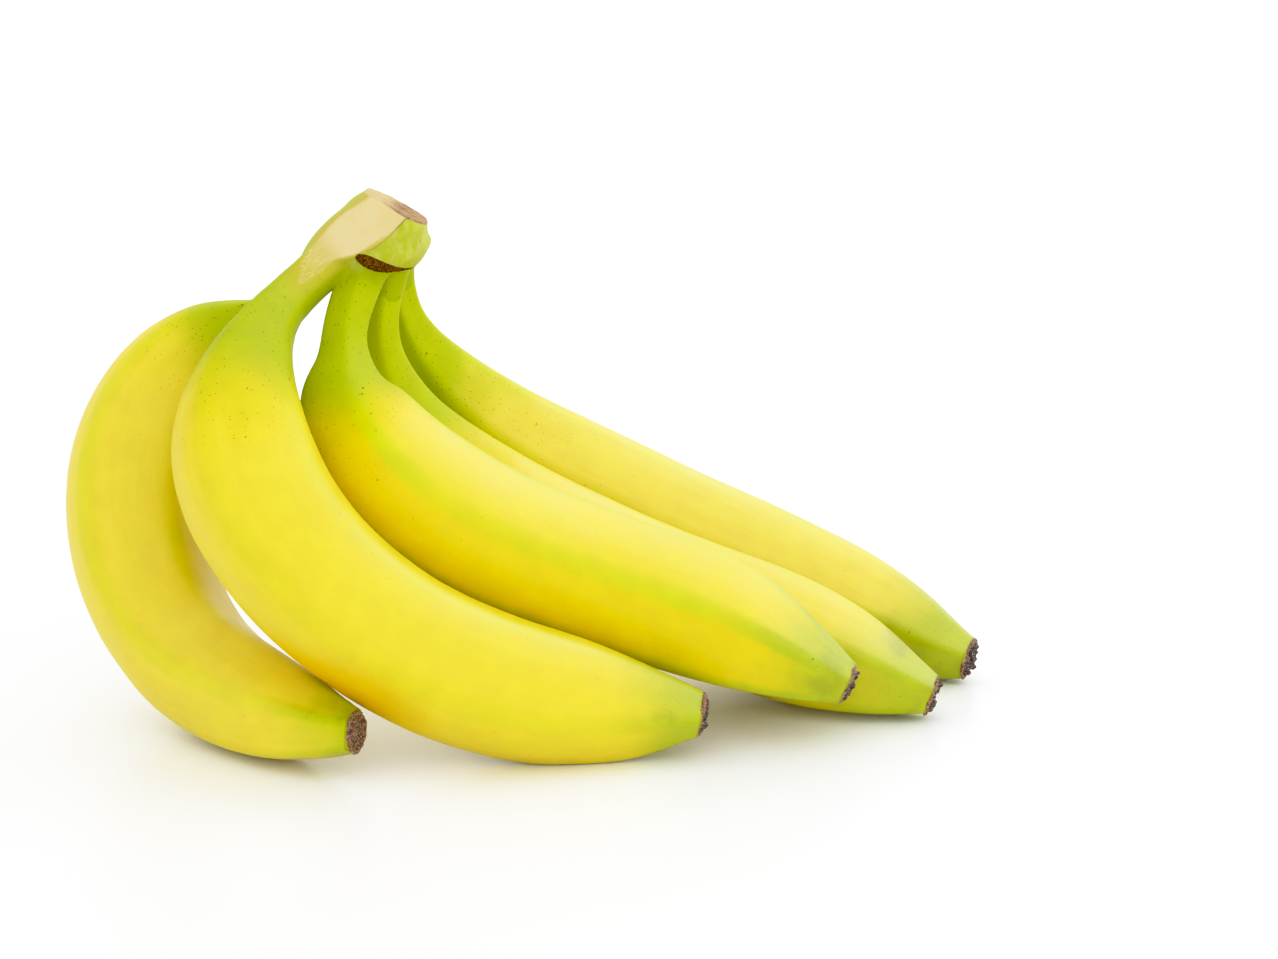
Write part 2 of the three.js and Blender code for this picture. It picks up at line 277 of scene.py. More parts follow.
class CrownSettings(bpy.types.PropertyGroup):
    skin: colour("Skin", "Yellow-green skin of the crown", (174, 179, 44))
    bloom: colour("Bloom", "Pale waxy bloom on the skin", (196, 196, 110))
    flesh: colour("Flesh", "Pale flesh of the knife cut", (216, 197, 146))
    warm_flesh: colour("Warm flesh", "Warmer patches in the flesh", (212, 184, 118))
    fleck: colour("Fleck", "Yellow-green of the flesh just under the skin", (184, 172, 56))
    thread: colour("Thread", "Pale threads where the cut runs out", (214, 206, 130))
    dried: colour("Dried", "Tan of the dried top cut", (188, 157, 104))
    fibre: colour("Fibre", "Purple-brown of the dried fibres", (110, 77, 71))
    scar: colour("Scar", "Brown of the torn bract edge", (130, 88, 35))
    crust: colour("Scar crust", "Dark brown of the torn bract edge", (48, 30, 14))
    grain: millimetres("Grain", "Size of the crown's mesh faces in millimetres", 0.4)
    fillet_steps: IntProperty(
        name="Fillet steps", description="Smoothing steps where stalks join", default=24, min=0
    )


class BlossomSettings(bpy.types.PropertyGroup):
    hollow: colour("Hollow", "Near-black of the hollows", (34, 24, 20))
    crust: colour("Crust", "Dark brown of the dried flower", (74, 52, 38))
    # Pale dust that also paints glints on the scraps.
    dust_and_glints: colour("Dust", "Pale dust on the scraps", (186, 174, 158))
    rim: colour("Rim", "Tan of the torn lip", (158, 110, 62))
    nodules: IntProperty(name="Nodules", description="Knobs on each dried flower", default=90, min=0)
    grain: millimetres("Grain", "Size of the mesh faces in millimetres", 0.25)


class StudioSettings(bpy.types.PropertyGroup):
    floor: colour("Floor", "Colour of the floor", (248, 249, 253))
    sky: FloatProperty(
        name="Sky", description="Strength of the soft light from all round", default=1.38, min=0
    )
    lean: FloatProperty(
        name="Lean", description="How much brighter the sky is on the right", default=0.22, min=0, max=1
    )
    sheen: FloatProperty(
        name="Sheen", description="Strength of the lights that show only as a sheen", default=1, min=0
    )
    cool: colour("Cool", "Colour of the lights that show only as a sheen", (180, 190, 255))
    black: FloatProperty(
        name="Black level", description="Light that is shown as black", default=0.018, min=0
    )
    white: FloatProperty(
        name="White level", description="Light that is shown as white", default=1.25, min=0.1
    )
    lens: FloatProperty(name="Lens", description="Focal length on a 36 mm frame", default=80, min=10)
    elevation: FloatProperty(
        name="Elevation",
        description="How far the camera looks down",
        default=math.radians(14.5),
        subtype="ANGLE",
    )


# ---- Lines and meshes ----


def spline(rows, along):
    """The rows' uniform cubic B-spline at shares of 0 to 1, which starts and ends on the end rows."""
    rows = np.asarray(rows, float)
    rows = np.vstack([2 * rows[0] - rows[1], rows, 2 * rows[-1] - rows[-2]])
    spans = len(rows) - 3
    place = np.asarray(along, float) * spans
    span = np.clip(place.astype(int), 0, spans - 1)
    t = (place - span)[:, None]
    weights = [(1 - t) ** 3, 3 * t**3 - 6 * t**2 + 4, -3 * t**3 + 3 * t**2 + 3 * t + 1, t**3]
    return sum(w / 6 * rows[span + i] for i, w in enumerate(weights))


def unit(vector):
    return np.array(vector) / np.linalg.norm(vector)


def padded(rows, count):
    """The rows with the last one repeated some more times."""
    return np.concatenate([rows, np.repeat(rows[-1:], count, axis=0)])


def frames_along(centres):
    """Unit vectors along a line, in the hand's plane and across it, turned as little as possible."""
    tangents = np.gradient(centres, axis=0)
    tangents /= np.linalg.norm(tangents, axis=1)[:, None]
    normal = np.cross(tangents[0], (0, 1, 0))
    normals = []
    for tangent in tangents:
        normal = unit(normal - tangent * (normal @ tangent))
        normals.append(normal)
    normals = np.array(normals)
    return tangents, normals, np.cross(tangents, normals)


def tube_faces(rings, sides):
    """Quads of a tube of rings, with a fan over each open end. The two fan tips follow the rings."""
    i, j = np.meshgrid(np.arange(rings - 1), np.arange(sides), indexing="ij")
    k = (j + 1) % sides
    quads = np.stack([i * sides + j, i * sides + k, (i + 1) * sides + k, (i + 1) * sides + j], -1)
    faces = quads.reshape(-1, 4).tolist()
    start, last = rings * sides, (rings - 1) * sides
    for side in range(sides):
        after = (side + 1) % sides
        faces.append((start, after, side))
        faces.append((start + 1, last + side, last + after))
    return faces


def loft_points(rows, along, angles, shape):
    """Rings of points square to the rows' line. shape is a factor for each ring and angle."""
    steps = spline(rows, along)
    centres = steps[:, :3]
    _, inward, across = frames_along(centres)
    a = (steps[:, 3:4] * shape * np.cos(angles))[..., None]
    b = (steps[:, 4:5] * shape * np.sin(angles))[..., None]
    return centres, centres[:, None] + a * inward[:, None] + b * across[:, None]


def loft(name, rows, rings, sides, boxiness=0):
    """A closed loft as an object. Boxy sections reach further at their corners."""
    angles = np.linspace(0, 2 * math.pi, sides, endpoint=False)[None]
    shape = np.repeat(1 + boxiness * (1 - np.cos(4 * angles)) / 2, rings, axis=0)
    return closed_tube(name, *loft_points(rows, np.linspace(0, 1, rings), angles, shape))


def closed_tube(name, centres, points):
    """An object from rings of points, closed at both ends to the middle of the end ring."""
    vertices = np.vstack([points.reshape(-1, 3), centres[:1], centres[-1:]])
    return mesh_object(name, vertices, tube_faces(*points.shape[:2]))


def mesh_object(name, vertices, faces):
    """An object from points in the hand's millimetres, placed in the frame."""
    mesh = bpy.data.meshes.new(name)
    mesh.from_pydata(((np.asarray(vertices) + HAND_SHIFT) * MM).tolist(), [], faces)
    mesh.shade_smooth()
    made = bpy.data.objects.new(name, mesh)
    bpy.context.scene.collection.objects.link(made)
    return made


def points_of(piece):
    """A piece's vertices in the hand's millimetres."""
    co = np.zeros(len(piece.data.vertices) * 3)
    piece.data.vertices.foreach_get("co", co)
    return co.reshape(-1, 3) / MM - HAND_SHIFT


def normals_of(piece):
    normals = np.zeros(len(piece.data.vertices) * 3, np.float32)
    piece.data.vertex_normals.foreach_get("vector", normals)
    return normals.reshape(-1, 3).astype(float)


def set_points(piece, points):
    co = (points + HAND_SHIFT) * MM
    piece.data.vertices.foreach_set("co", co.astype(np.float32).ravel())
    piece.data.update()


def set_attribute(piece, name, values):
    """Stores one number or one vector for each vertex, which the materials read."""
    kind, key = ("FLOAT", "value") if values.ndim == 1 else ("FLOAT_VECTOR", "vector")
    attribute = piece.data.attributes.new(name, kind, "POINT")
    attribute.data.foreach_set(key, values.astype(np.float32).ravel())


def wobble(points, size, seed=0.0):
    """Smooth noise of about -1 to 1 at each point, with lumps of the given size in millimetres."""
    offset = Vector((seed, 2.3 * seed, 5.1 * seed))
    return np.array([noise.noise(Vector(p) / size + offset) for p in points.tolist()])


def smooth_step(value, low, high):
    share = np.clip((value - low) / (high - low), 0, 1)
    return share * share * (3 - 2 * share)


def applied(piece):
    """The piece with its modifiers made part of its mesh."""
    graph = bpy.context.evaluated_depsgraph_get()
    mesh = bpy.data.meshes.new_from_object(piece.evaluated_get(graph))
    piece.modifiers.clear()
    old = piece.data
    piece.data = mesh
    bpy.data.meshes.remove(old)
    mesh.shade_smooth()
    return piece


def remeshed(piece, grain, smooth_steps=0):
    """One skin round everything in the piece, in faces of the given size, then smoothed."""
    remesh = piece.modifiers.new("skin", "REMESH")
    remesh.mode = "VOXEL"
    remesh.voxel_size = grain * MM
    if smooth_steps:
        relax = piece.modifiers.new("relax", "SMOOTH")
        relax.factor = 0.5
        relax.iterations = smooth_steps
    return applied(piece)


def joined(name, parts):
    """One object that holds the meshes of several, which are removed."""
    bm = bmesh.new()
    for part in parts:
        bm.from_mesh(part.data)
        old = part.data
        bpy.data.objects.remove(part)
        bpy.data.meshes.remove(old)
    mesh = bpy.data.meshes.new(name)
    bm.to_mesh(mesh)
    bm.free()
    made = bpy.data.objects.new(name, mesh)
    bpy.context.scene.collection.objects.link(made)
    return made


def beyond(points, cut):
    """How far each point lies outside a cut's plane, in millimetres."""
    point, facing = cut
    return (points - np.array(point)) @ unit(facing)


def stalkward_of(points):
    """How far down the stalks each point lies from the face cut's own point."""
    return (points - np.array(FACE_CUT[0])) @ np.array(STALKWARD)


def face_depth(points):
    """How far each point lies outside the face cut, which lifts away down the stalks."""
    past_each = [
        np.min([beyond(points, plane) for plane in edge], axis=0) for edge in FACE_EDGES.values()
    ]
    proud = PROUD * smooth_step(np.max(past_each, axis=0), 0, PROUD_WITHIN)
    lifted = RUN_OUT * np.maximum(stalkward_of(points) - RUN_OUT_FROM, 0) ** 2 + proud
    return beyond(points, FACE_CUT) - lifted + waviness(points)


def top_depth(points):
    """How far each point lies outside the top cut."""
    return beyond(points, TOP_CUT) + waviness(points)


def waviness(points):
    """The knife's slight unevenness, in millimetres."""
    return 0.25 * wobble(points, 8, 3)


def nearest_value(points, values):
    """A function that gives other points the value of the nearest of these points."""
    tree = kdtree.KDTree(len(points))
    for index, point in enumerate(points.tolist()):
        tree.insert(point, index)
    tree.balance()
    return lambda others: values[[tree.find(point)[1] for point in others.tolist()]]


def cut_back(piece, cut, depth):
    """Draws what lies outside a cut back onto it. Gives the new points and how far each one moved."""
    points = points_of(piece)
    removed = np.maximum(depth(points), 0)
    points = points - np.outer(removed, unit(cut[1]))
    set_points(piece, points)
    return points, removed


def gap_to(points, rows, samples, share=1.0):
    """How far each point lies from a round tube along the rows, of a share of their thickness."""
    line = spline(rows, np.linspace(0, 1, samples))
    return (np.linalg.norm(points[..., None, :] - line[:, :3], axis=-1) - share * line[:, 3]).min(-1)


def drawn_out(points, axis, stretch):
    """Points squeezed along an axis, so that noise on them runs in streaks along it."""
    axis = unit(axis)
    return points + np.outer((points @ axis) * (1 / stretch - 1), axis)


def dress(piece, material, slot, *nodes):
    """Gives a piece its material and its place in the frame."""
    piece.data.materials.clear()
    piece.data.materials.append(material)
    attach(piece, BODY)
    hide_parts(*nodes)


# ---- Materials ----


class Shader:
    """Adds nodes to one material. A socket takes another node's output or a plain value."""

    def __init__(self, name):
        self.material = bpy.data.materials.new(name)
        self.material.use_nodes = True
        self.tree = self.material.node_tree
        self.tree.nodes.clear()

    def plug(self, value, socket):
        if isinstance(value, bpy.types.NodeSocket):
            self.tree.links.new(value, socket)
        elif socket.type == "RGBA" and len(value) == 3:
            socket.default_value = (*value, 1)
        else:
            socket.default_value = value

    def add(self, kind, sockets=None, **settings):
        node = self.tree.nodes.new(kind)
        for key, value in settings.items():
            setattr(node, key, value)
        for key, value in (sockets or {}).items():
            self.plug(value, node.inputs[key])
        return node

    def grey(self, share):
        return self.add("ShaderNodeCombineColor", {0: share, 1: share, 2: share}).outputs[0]

    def maths(self, operation, a, b, clamp=False):
        return self.add("ShaderNodeMath", {0: a, 1: b}, operation=operation, use_clamp=clamp).outputs[0]

    def total(self, a, b, clamp=False):
        return self.maths("ADD", a, b, clamp)

    def product(self, a, b, clamp=False):
        return self.maths("MULTIPLY", a, b, clamp)

    def less(self, a, b):
        return self.maths("SUBTRACT", a, b)

    def larger(self, a, b):
        return self.maths("MAXIMUM", a, b)

    def step(self, value, low, high, to_low=0.0, to_high=1.0):
        """A smooth step of the value from low to high; low may be the larger."""
        turned = low > high
        ends = (high, low, to_high, to_low) if turned else (low, high, to_low, to_high)
        names = ("Value", "From Min", "From Max", "To Min", "To Max")
        sockets = dict(zip(names, (value, *ends)))
        return self.add("ShaderNodeMapRange", sockets, interpolation_type="SMOOTHSTEP").outputs[0]

    def mix(self, share, a, b, blend="MIX"):
        node = self.add("ShaderNodeMix", data_type="RGBA", blend_type=blend)
        self.plug(share, node.inputs[0])
        self.plug(a, node.inputs[6])
        self.plug(b, node.inputs[7])
        return node.outputs[2]

    def vector(self, name):
        return self.add("ShaderNodeAttribute", attribute_name=name).outputs["Vector"]

    def number(self, name):
        return self.add("ShaderNodeAttribute", attribute_name=name).outputs["Fac"]

    def parts(self, vector):
        return self.add("ShaderNodeSeparateXYZ", {0: vector}).outputs

    def stretched(self, vector, factors):
        return self.add("ShaderNodeVectorMath", {0: vector, 1: factors}, operation="MULTIPLY").outputs[0]

    def place(self):
        """The point in the frame, in metres."""
        return self.add("ShaderNodeTexCoord").outputs["Object"]

    def noise(self, vector, scale, detail=2.0, roughness=0.5):
        sockets = {"Vector": vector, "Scale": scale, "Detail": detail, "Roughness": roughness}
        return self.add("ShaderNodeTexNoise", sockets).outputs[0]

    def spots(self, vector, scale, radius, share):
        """Round spots in some of the cells of a grid of random points: 1 inside a spot, 0 outside."""
        cells = self.add("ShaderNodeTexVoronoi", {"Vector": vector, "Scale": scale})
        inside = self.step(cells.outputs["Distance"], radius, 0.6 * radius)
        chosen = self.add("ShaderNodeSeparateColor", {0: cells.outputs["Color"]}).outputs[0]
        return self.product(inside, self.maths("LESS_THAN", chosen, share))

    def bump(self, height, distance, strength=1.0, under=None):
        sockets = {"Height": height, "Distance": distance, "Strength": strength}
        if under is not None:
            sockets["Normal"] = under
        return self.add("ShaderNodeBump", sockets).outputs[0]

    def surface(self, **sockets):
        named = {key.replace("_", " "): value for key, value in sockets.items()}
        shader = self.add("ShaderNodeBsdfPrincipled", named)
        output = self.add("ShaderNodeOutputMaterial")
        self.tree.links.new(shader.outputs[0], output.inputs[0])
        return self.material


def banana_skin(settings):
    """Waxy yellow skin: green at neck, tip and ridges, golden patches, faint streaks and fine specks,
    painted shade where two fingers press, and a paler yellow that partly paints sheen.
    """
    shader = Shader("banana_skin")
    neck, tip, ridge = shader.parts(shader.vector("skin_place"))
    # Where two fingers press, how much painted shade; how pale the finger is, partly painted sheen; how
    # dark its neck is.
    pressed, pale, shade = shader.parts(shader.vector("skin_tone"))
    here = shader.place()
    blotch = shader.noise(here, BLOTCHES, 3)
    patch = shader.noise(here, PATCHES, 4)
    streak = shader.noise(shader.stretched(shader.vector("skin_round"), (7, 7, 3.5)), 1.0, 4, 0.6)
    shift = shader.product(shader.less(blotch, 0.5), 0.25)
    along_neck = shader.total(neck, shift)
    along_tip = shader.total(shader.number("tip_green"), shift)
    along_tip = shader.less(along_tip, shader.product(ridge, 0.08))

    # A paler yellow over some whole fingers, partly painted sheen.
    tint = shader.mix(pale, settings.ripe, settings.pale)
    tint = shader.mix(shader.step(streak, 0.4, 0.7, 0.0, 0.25), tint, settings.golden)
    # Painted shade in golden brown where two fingers press.
    tint = shader.mix(shader.product(pressed, 0.75), tint, settings.pressed_painted_shade)
    green_line = shader.product(ridge, shader.step(blotch, 0.3, 0.62, 0.4, 0.8), clamp=True)
    tint = shader.mix(green_line, tint, settings.ridge)
    neck_share = shader.step(along_neck, *NECK_GREEN, 0.0, 0.97)
    neck_tint = shader.mix(shade, settings.neck, settings.deep_neck)
    tint = shader.mix(neck_share, tint, neck_tint)
    tip_share = shader.step(along_tip, *TIP_GREEN, 0.0, 0.92)
    tint = shader.mix(tip_share, tint, settings.tip)
    tint = shader.mix(1.0, tint, shader.grey(shader.step(patch, 0.3, 0.7, 0.96, 1.02)), "MULTIPLY")
    # Painted shade: a darker brown where the two pressed fingers touch.
    tint = shader.mix(shader.step(pressed, 0.94, 1.0, 0.0, 0.6), tint, settings.speck)

    near_tip = shader.step(along_tip, 0.22, 0.1, 0.0, 0.3)
    smudged = shader.product(shader.step(shader.noise(here, SMUDGES, 4), 0.5, 0.68), near_tip)
    tint = shader.mix(smudged, tint, settings.smudge)
    # Specks are thickest on the neck and near the tip.
    ends = shader.larger(
        shader.step(along_neck, 0.3, 0.02), shader.step(along_tip, 0.22, 0.08, 0.0, 0.6)
    )
    fine = shader.product(shader.spots(here, FINE_SPECKS, 0.17, 0.6), ends)
    strewn = shader.total(ends, 0.25, clamp=True)
    coarse = shader.product(shader.spots(here, COARSE_SPECKS, 0.09, 0.3), strewn)
    specks = shader.product(shader.larger(fine, coarse), 0.7)
    tint = shader.mix(specks, tint, settings.speck)
    tint = shader.mix(shader.step(tip, 0.002, -0.003, 0.0, 0.85), tint, settings.speck)

    pores = shader.noise(here, PORES, 3)
    rough = shader.step(patch, 0.3, 0.7, settings.roughness - 0.04, settings.roughness + 0.06)
    rough = shader.total(rough, shader.product(neck_share, 0.12))
    grain = shader.bump(pores, PORE_RELIEF, 0.35)
    lines = shader.bump(streak, STREAK_RELIEF, 0.12, grain)
    # The neck and the skin sheltered by another finger catch no sheen.
    dull = shader.larger(shader.step(along_neck, 0.3, 0.02, 0, 0.85), shader.number("sheltered"))
    shine = shader.step(dull, 0, 1, 0.28, 0.05)
    return shader.surface(Base_Color=tint, Roughness=rough, Normal=lines, Specular_IOR_Level=shine)


def crown_skin(settings, banana):
    """The crown's skin with its pale knife cut, dried top and torn brown edge, by vertex attributes."""
    shader = Shader("crown_skin")
    here = shader.place()
    face_depth, top_depth, scar_gap = shader.parts(shader.vector("crown_depths"))
    lobe, frayed, dry_end = shader.parts(shader.vector("crown_skin"))
    streak = shader.noise(shader.vector("crown_grain"), 2.0, 3, 0.6)
    patch = shader.noise(here, PATCHES, 4)
    on_top = shader.step(top_depth, -0.5, -0.2)

    veils = shader.noise(shader.stretched(here, (1, 1, 0.5)), VEILS, 6, 0.7)
    bloom = shader.product(shader.step(veils, 0.4, 0.7, 0, 0.6), lobe)
    stalk = shader.mix(0.3, banana.neck, banana.deep_neck)
    tint = shader.mix(shader.product(lobe, 0.85), stalk, settings.skin)
    tint = shader.mix(bloom, tint, settings.bloom)
    tint = shader.mix(1.0, tint, shader.grey(shader.step(patch, 0.3, 0.7, 0.93, 1.03)), "MULTIPLY")
    fine, coarse = CROWN_SPECKS
    specks = shader.larger(shader.spots(here, fine, 0.16, 0.3), shader.spots(here, coarse, 0.1, 0.3))
    tint = shader.mix(shader.product(specks, 0.6), tint, banana.speck)

    # The knife cut is yellow-green where it only grazes the skin, and frays out down the stalks.
    soft = shader.number("cut_soft")
    streaked = shader.less(streak, 0.5)
    fray = shader.product(streaked, shader.step(frayed, 0, 1, 0.3, 1.6))
    cut_at = shader.total(face_depth, fray)
    blended = shader.product(shader.step(cut_at, -2.6, -0.2), soft)
    cut = shader.larger(shader.step(cut_at, -0.42, -0.2), blended)
    edge = shader.product(shader.step(cut_at, -0.7, -0.4), shader.step(cut_at, -0.1, -0.35, 0, 0.5))
    edge = shader.product(edge, shader.less(1.0, shader.product(soft, 0.8)))
    tint = shader.mix(edge, tint, settings.scar)
    grazed_skin = shader.product(shader.step(face_depth, -7, -1.5, 0, 0.75), soft)
    tint = shader.mix(grazed_skin, tint, settings.fleck)
    warm = shader.step(shader.noise(here, WARM_PATCHES, 4, 0.6), 0.35, 0.7, 0.0, 0.45)
    flesh = shader.mix(warm, settings.flesh, settings.warm_flesh)
    shallow = shader.total(shader.number("cut_thickness"), streaked)
    grazed = shader.larger(shader.step(shallow, 1.6, 0.0, 0, 0.85), shader.step(frayed, 0, 1, 0, 0.6))
    flesh = shader.mix(grazed, flesh, settings.fleck)
    threads = shader.product(shader.step(streak, 0.42, 0.65, 0, 0.45), frayed)
    tint = shader.mix(cut, tint, shader.mix(threads, flesh, settings.thread))

    fibres = shader.noise(shader.vector("top_grain"), 1.6, 4, 0.65)
    # The top cut has dried, most of all towards its outer end, and the scar under the pad is torn.
    fibrous = shader.product(shader.step(fibres, 0.42, 0.6), shader.step(dry_end, 0, 1, 0.15, 0.9))
    pale = shader.mix(shader.step(dry_end, 0, 1, 0.35, 1), settings.flesh, settings.dried)
    tint = shader.mix(on_top, tint, shader.mix(fibrous, pale, settings.fibre))
    scar = shader.step(scar_gap, 0.4, 0.2)
    crumbs = shader.noise(here, CRUMBS, 5, 0.7)
    torn = shader.mix(shader.step(crumbs, 0.4, 0.6), settings.crust, settings.scar)
    tint = shader.mix(scar, tint, torn)

    dull = shader.larger(shader.larger(cut, on_top), scar)
    rough = shader.step(dull, 0.0, 1.0, banana.roughness + 0.1, 0.75)
    normal = shader.bump(fibres, FIBRE_RELIEF, shader.product(on_top, 0.5))
    threaded = shader.product(cut, shader.product(frayed, 0.5))
    normal = shader.bump(streak, THREAD_RELIEF, threaded, normal)
    normal = shader.bump(crumbs, CRUMB_RELIEF, shader.product(scar, 0.6), normal)
    normal = shader.bump(shader.noise(here, PORES, 3), PORE_RELIEF, 0.35, normal)
    return shader.surface(Base_Color=tint, Roughness=rough, Normal=normal, Specular_IOR_Level=0.08)


def dried_flower(settings):
    """Crusty dry brown with near-black hollows and pale dusty scraps that also paint glints, tan on the
    torn lip.
    """
    shader = Shader("dried_flower")
    here = shader.place()
    crust = shader.noise(here, FLOWER_CRUST, 5, 0.7)
    dust_and_glints = shader.noise(here, FLOWER_DUST_AND_GLINTS, 3, 0.6)
    rim = shader.number("rim")
    inner = shader.mix(shader.step(crust, 0.4, 0.62), settings.hollow, settings.crust)
    lip = shader.mix(shader.step(crust, 0.35, 0.6), settings.crust, settings.rim)
    tint = shader.mix(rim, inner, lip)
    # Pale dust on the scraps, which also paints their glints.
    tint = shader.mix(shader.step(dust_and_glints, 0.53, 0.64, 0.0, 0.8), tint, settings.dust_and_glints)
    normal = shader.bump(crust, CRUST_RELIEF, 0.7)
    return shader.surface(Base_Color=tint, Roughness=0.65, Normal=normal, Specular_IOR_Level=0.4)


def plain_floor(settings):
    shader = Shader("floor")
    return shader.surface(Base_Color=settings.floor, Roughness=0.3, Specular_IOR_Level=0.4)


# ---- Pieces ----


def finger_rows(name, pressed):
    """A finger's rows with its thickness across the hand added to each."""
    return [(*row, row[3] * pressed) for row in FINGER_LINES[name]]


def number_of(name):
    return int(name[-1])


def finger_shape(name, along, sides, height):
    """Where each point of a ring lies round the section, and five ridges between flatter sides.

    Gives the angle round the section, the angle counted from the first ridge, and the share of the
    radius. The ridges are higher at the neck and the tip, and not all the same.
    """
    at_crown, at_tip, wider, _ = np.radians(RIDGE_TURNS[name])
    around = np.linspace(0, 2 * math.pi, sides, endpoint=False)[None] + 0 * along[:, None]
    angles = around + wider * np.sin(around) + (at_crown + (at_tip - at_crown) * along)[:, None]
    neck = 1.3 * (1 - smooth_step(along, 0.12, 0.4))
    tip = 0.9 * smooth_step(along, 0.7, 0.95)
    strength = height * (1 + neck + tip)[:, None] * (1 + 0.2 * np.cos(around + number_of(name)))
    waves = np.cos(RIDGES * around) + 0.17 * np.cos(2 * RIDGES * around)
    return angles, around, 1 + strength * (waves + 0.05 * np.cos(3 * RIDGES * around))


def finger(name, settings):
    """One banana from just inside the crown to its pursed tip, as a fine closed skin."""
    rows = finger_rows(name, settings.pressed)
    start, dive = LEAVES_CROWN[name]
    along = np.linspace(start, 1, settings.rings)
    half = spline(rows, along)[:, 3]
    angles, around, shape = finger_shape(name, along, settings.sides, settings.ridge_height)
    sunk = SUNK * (1 - smooth_step(along, start, dive))
    centres, points = loft_points(rows, along, angles, shape - (sunk / half)[:, None])

    # The tip purses inwards before the dried flower.
    outward = unit(centres[-1] - centres[-2])
    last = points[-1] - centres[-1]
    pursed = [centres[-1] + last * share + outward * ahead for ahead, share in PURSED_TIP]
    points = np.concatenate([points, pursed])
    around = padded(around, len(pursed))

    vertices = points.reshape(-1, 3)
    away = vertices - np.repeat(padded(centres, len(pursed)), settings.sides, axis=0)
    away /= np.maximum(np.linalg.norm(away, axis=1), 1e-6)[:, None]
    seed = number_of(name)
    lumps = 0.32 * wobble(vertices, 24, seed) + 0.07 * wobble(vertices, 7, seed + 3)
    vertices = vertices + away * lumps[:, None]
    vertices = np.vstack([vertices, centres[:1], vertices[-settings.sides:].mean(0)])
    vertices[:, 2] = np.maximum(vertices[:, 2], 0)
    piece = mesh_object(name + "_skin", vertices, tube_faces(len(points), settings.sides))

    lengths = np.linalg.norm(np.diff(centres, axis=0), axis=1)
    travelled = np.concatenate([[0], np.cumsum(lengths)])
    shoulder = travelled[np.argmax(half > 0.7 * half.max())]
    layers = finger_layers(name, points, around, padded(travelled, len(pursed)), shoulder)
    for attribute, values in layers.items():
        flat = values.reshape(-1, values.shape[-1])
        ends = np.vstack([flat[: settings.sides].mean(0), flat[-settings.sides:].mean(0)])
        set_attribute(piece, attribute, np.vstack([flat, ends]).squeeze())
    return piece


def finger_layers(name, points, around, travelled, shoulder):
    """What the skin's material reads at each point of a finger's rings.

    travelled is how far along the finger each ring lies, and shoulder where its neck ends.
    """
    pale, shade, greenness, later, fading = FINGER_TONES[name]
    far = travelled[-1]
    place = np.zeros(points.shape)
    place[..., 0] = (travelled[:, None] - shoulder) / REACH * fading
    place[..., 1] = (far - travelled[:, None]) / REACH
    green = math.radians(RIDGE_TURNS[name][3])
    crest = smooth_step(np.cos(RIDGES * around), 0.35, 1.0)
    place[..., 2] = greenness * crest * (0.25 + 0.75 * np.cos((around - green) / 2) ** 2)
    lengthwise = np.repeat(travelled[:, None] / REACH, around.shape[1], 1)

    tone = np.zeros(points.shape)
    sheltered = np.zeros(around.shape)
    # The pressed pair's painted shade, strongest where their skins meet and weaker where one shelters the
    # other.
    if name in PRESSED_PAIR:
        other = PRESSED_PAIR[1 - PRESSED_PAIR.index(name)]
        gap = gap_to(points, FINGER_LINES[other], 120, 0.95)
        body = smooth_step(travelled - shoulder, 0, 20) * smooth_step(far - travelled, 50, 95)
        sheltered = smooth_step(gap, 22, 6)
        tone[..., 0] = np.maximum(smooth_step(gap, 12, 3), 0.6 * sheltered) * body[:, None]
    # How pale the whole finger is, partly painted sheen.
    tone[..., 1] = pale
    tone[..., 2] = shade
    return {
        "skin_place": place,
        "skin_round": np.stack([np.cos(around), np.sin(around), lengthwise], -1),
        "skin_tone": tone,
        "sheltered": sheltered[..., None],
        "tip_green": (place[..., 1] + later)[..., None],
    }


def stalk_root(name, settings):
    """The crown's skin running out along a finger's stalk, to dive under the finger's own skin."""
    rings, sides = 50, 60
    dive = LEAVES_CROWN[name][1]
    along = np.linspace(0.0, dive + 0.05, rings)
    swell = 0.35 - 1.3 * smooth_step(along, dive - 0.02, dive + 0.05)
    rows = finger_rows(name, settings.pressed)
    angles, _, shape = finger_shape(name, along, sides, settings.ridge_height)
    half = spline(rows, along)[:, 3:4]
    centres, points = loft_points(rows, along, angles, shape + swell[:, None] / half)
    return closed_tube("root_" + name, centres, points)


